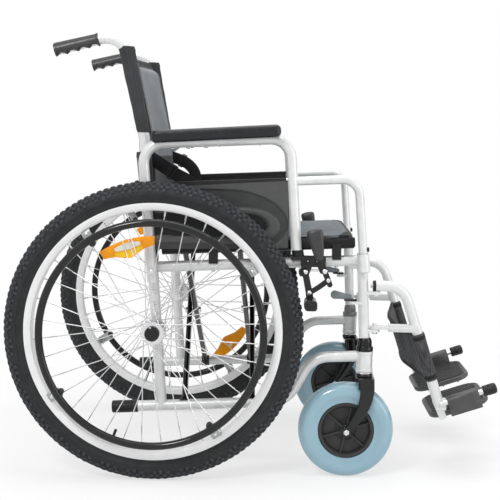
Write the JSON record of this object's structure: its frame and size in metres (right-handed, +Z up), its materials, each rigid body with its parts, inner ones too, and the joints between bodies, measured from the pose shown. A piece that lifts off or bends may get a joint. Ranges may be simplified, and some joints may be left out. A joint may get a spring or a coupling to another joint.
{
  "type": "wheelchair",
  "caption": "Folding self-propelled wheelchair with spoked rear wheels, handrims, swivel casters, flip-back armrests, swing-away legrests and lever brakes.",
  "frame": {"origin": "on the ground, under the middle of the overall length and width", "axes": "+X forward, +Y to the sitter's left, +Z up"},
  "size_m": [1.0112, 0.735, 0.9],
  "materials": {
    "frame_paint": "satin silver-grey paint",
    "bright_steel": "plated, bright",
    "black_paint": "satin black paint",
    "tyre": "matt dark grey rubber",
    "caster_tyre": "smooth blue-grey rubber",
    "dark_plastic": "moulded",
    "black_plastic": "moulded",
    "grey_cloth": "woven nylon",
    "black_cloth": "mesh webbing",
    "reflector": "prismatic orange"
  },
  "bodies": {
    "side_frame_right": {"side_frame_right": "frame_paint", "rear_post_right": "frame_paint", "push_grip_right": "black_plastic", "tip_cap_right": "black_plastic", "rear_axle_right": "bright_steel", "caster_boot_right": "black_plastic", "brake_bracket_right": "black_paint", "back_right": "grey_cloth"},
    "brace_a": {"brace_a": "black_paint", "seat_left": "grey_cloth"},
    "brace_b": {"brace_b": "black_paint", "seat_right": "grey_cloth"},
    "side_frame_left": {"side_frame_left": "frame_paint", "rear_post_left": "frame_paint", "push_grip_left": "black_plastic", "tip_cap_left": "black_plastic", "rear_axle_left": "bright_steel", "caster_boot_left": "black_plastic", "brake_bracket_left": "black_paint", "back_left": "grey_cloth"},
    "rear_wheel_right": {"rear_tyre_right": "tyre", "rear_wheel_right": "bright_steel", "handrim_right": "black_paint", "spoke_reflector_right": "reflector"},
    "caster_fork_right": {"caster_fork_right": "black_paint"},
    "caster_wheel_right": {"caster_tyre_right": "caster_tyre", "caster_rim_right": "dark_plastic"},
    "armrest_right": {"armrest_frame_right": "frame_paint", "arm_pad_right": "black_plastic", "side_guard_right": "dark_plastic"},
    "arm_latch_right": {"arm_latch_right": "black_plastic"},
    "brake_lever_right": {"brake_lever_right": "black_plastic"},
    "brake_link_right": {"brake_link_right": "black_paint"},
    "brake_shoe_arm_right": {"brake_shoe_arm_right": "black_paint"},
    "legrest_right": {"hanger_right": "frame_paint", "bumper_right": "black_plastic", "calf_strap_right": "black_cloth"},
    "footplate_right": {"footplate_right": "dark_plastic"},
    "release_lever_right": {"release_lever_right": "black_plastic"},
    "rear_wheel_left": {"rear_tyre_left": "tyre", "rear_wheel_left": "bright_steel", "handrim_left": "black_paint", "spoke_reflector_left": "reflector"},
    "caster_fork_left": {"caster_fork_left": "black_paint"},
    "caster_wheel_left": {"caster_tyre_left": "caster_tyre", "caster_rim_left": "dark_plastic"},
    "armrest_left": {"armrest_frame_left": "frame_paint", "arm_pad_left": "black_plastic", "side_guard_left": "dark_plastic"},
    "arm_latch_left": {"arm_latch_left": "black_plastic"},
    "brake_lever_left": {"brake_lever_left": "black_plastic"},
    "brake_link_left": {"brake_link_left": "black_paint"},
    "brake_shoe_arm_left": {"brake_shoe_arm_left": "black_paint"},
    "legrest_left": {"hanger_left": "frame_paint", "bumper_left": "black_plastic", "calf_strap_left": "black_cloth"},
    "footplate_left": {"footplate_left": "dark_plastic"},
    "release_lever_left": {"release_lever_left": "black_plastic"}
  },
  "joints": [
    {"name": "fold", "type": "hinge", "parent": "side_frame_right", "child": "brace_a", "pos_m": [-0.20424, -0.246, 0.1377], "axis": [0.9985, 0, 0.0546], "range_deg": [0, 42], "deforming": ["seat_right", "seat_left", "back_right", "back_left", "calf_strap_right", "calf_strap_left"]},
    {"name": "cross_pivot", "type": "hinge", "parent": "brace_a", "child": "brace_b", "pos_m": [-0.21312, 0, 0.30011], "axis": [0.9985, 0, 0.0546], "range_deg": [-84, 0]},
    {"name": "left_rail_pivot", "type": "hinge", "parent": "brace_b", "child": "side_frame_left", "pos_m": [-0.20424, 0.246, 0.1377], "axis": [0.9985, 0, 0.0546], "range_deg": [0, 42]},
    {"name": "rear_wheel_right", "type": "hinge", "parent": "side_frame_right", "child": "rear_wheel_right", "pos_m": [-0.20424, -0.31, 0.303], "axis": [0, 1, 0], "continuous": true},
    {"name": "caster_swivel_right", "type": "hinge", "parent": "side_frame_right", "child": "caster_fork_right", "pos_m": [0.22576, -0.246, 0.2187], "axis": [0, 0, 1], "continuous": true},
    {"name": "caster_wheel_right", "type": "hinge", "parent": "caster_fork_right", "child": "caster_wheel_right", "pos_m": [0.19096, -0.246, 0.0985], "axis": [0, 1, 0], "continuous": true},
    {"name": "armrest_right", "type": "hinge", "parent": "side_frame_right", "child": "armrest_right", "pos_m": [-0.21317, -0.2705, 0.421], "axis": [0, -1, 0], "range_deg": [0, 72]},
    {"name": "arm_latch_right", "type": "slide", "parent": "armrest_right", "child": "arm_latch_right", "axis": [-1, 0, 0], "range_m": [0, 0.0035], "stiffness_N_per_m": 300},
    {"name": "brake_lever_right", "type": "hinge", "parent": "side_frame_right", "child": "brake_lever_right", "pos_m": [0.13806, -0.283, 0.4295], "axis": [0, 1, 0], "range_deg": [-20, 10.8]},
    {"name": "brake_link_right", "type": "hinge", "parent": "brake_lever_right", "child": "brake_link_right", "pos_m": [0.14556, -0.2785, 0.4113], "axis": [0, 1, 0], "range_deg": [-9.8, 18.1]},
    {"name": "brake_shoe_arm_right", "type": "hinge", "parent": "side_frame_right", "child": "brake_shoe_arm_right", "pos_m": [0.09896, -0.274, 0.4266], "axis": [0, 1, 0], "range_deg": [-9.9, 5.4]},
    {"name": "legrest_right", "type": "hinge", "parent": "side_frame_right", "child": "legrest_right", "pos_m": [0.24526, -0.246, 0.398], "axis": [0, 0, -1], "range_deg": [0, 100]},
    {"name": "footplate_right", "type": "hinge", "parent": "legrest_right", "child": "footplate_right", "pos_m": [0.48876, -0.228, 0.1845], "axis": [0.9472, 0, 0.3206], "range_deg": [0, 94]},
    {"name": "release_lever_right", "type": "hinge", "parent": "side_frame_right", "child": "release_lever_right", "pos_m": [0.20076, -0.246, 0.366], "axis": [0, 0, 1], "range_deg": [0, 15], "stiffness_Nm_per_rad": 0.05},
    {"name": "rear_wheel_left", "type": "hinge", "parent": "side_frame_left", "child": "rear_wheel_left", "pos_m": [-0.20424, 0.31, 0.303], "axis": [0, 1, 0], "continuous": true},
    {"name": "caster_swivel_left", "type": "hinge", "parent": "side_frame_left", "child": "caster_fork_left", "pos_m": [0.22576, 0.246, 0.2187], "axis": [0, 0, 1], "continuous": true},
    {"name": "caster_wheel_left", "type": "hinge", "parent": "caster_fork_left", "child": "caster_wheel_left", "pos_m": [0.19096, 0.246, 0.0985], "axis": [0, 1, 0], "continuous": true},
    {"name": "armrest_left", "type": "hinge", "parent": "side_frame_left", "child": "armrest_left", "pos_m": [-0.21317, 0.2705, 0.421], "axis": [0, -1, 0], "range_deg": [0, 72]},
    {"name": "arm_latch_left", "type": "slide", "parent": "armrest_left", "child": "arm_latch_left", "axis": [-1, 0, 0], "range_m": [0, 0.0035], "stiffness_N_per_m": 300},
    {"name": "brake_lever_left", "type": "hinge", "parent": "side_frame_left", "child": "brake_lever_left", "pos_m": [0.13806, 0.283, 0.4295], "axis": [0, 1, 0], "range_deg": [-20, 10.8]},
    {"name": "brake_link_left", "type": "hinge", "parent": "brake_lever_left", "child": "brake_link_left", "pos_m": [0.14556, 0.2785, 0.4113], "axis": [0, 1, 0], "range_deg": [-9.8, 18.1]},
    {"name": "brake_shoe_arm_left", "type": "hinge", "parent": "side_frame_left", "child": "brake_shoe_arm_left", "pos_m": [0.09896, 0.274, 0.4266], "axis": [0, 1, 0], "range_deg": [-9.9, 5.4]},
    {"name": "legrest_left", "type": "hinge", "parent": "side_frame_left", "child": "legrest_left", "pos_m": [0.24526, 0.246, 0.398], "axis": [0, 0, 1], "range_deg": [0, 100]},
    {"name": "footplate_left", "type": "hinge", "parent": "legrest_left", "child": "footplate_left", "pos_m": [0.48876, 0.228, 0.1845], "axis": [-0.9472, 0, -0.3206], "range_deg": [0, 94]},
    {"name": "release_lever_left", "type": "hinge", "parent": "side_frame_left", "child": "release_lever_left", "pos_m": [0.20076, 0.246, 0.366], "axis": [0, 0, -1], "range_deg": [0, 15], "stiffness_Nm_per_rad": 0.05}
  ],
  "couplings": [
    {"joint": "cross_pivot", "follows": "fold", "ratio": -2},
    {"joint": "left_rail_pivot", "follows": "fold", "ratio": 1},
    {"joint": "brake_link_right", "follows": "brake_lever_right", "ratio": -0.9},
    {"joint": "brake_shoe_arm_right", "follows": "brake_lever_right", "ratio": 0.49},
    {"joint": "footplate_right", "follows": "fold", "ratio": 2.238},
    {"joint": "brake_link_left", "follows": "brake_lever_left", "ratio": -0.9},
    {"joint": "brake_shoe_arm_left", "follows": "brake_lever_left", "ratio": 0.49},
    {"joint": "footplate_left", "follows": "fold", "ratio": 2.238}
  ]
}
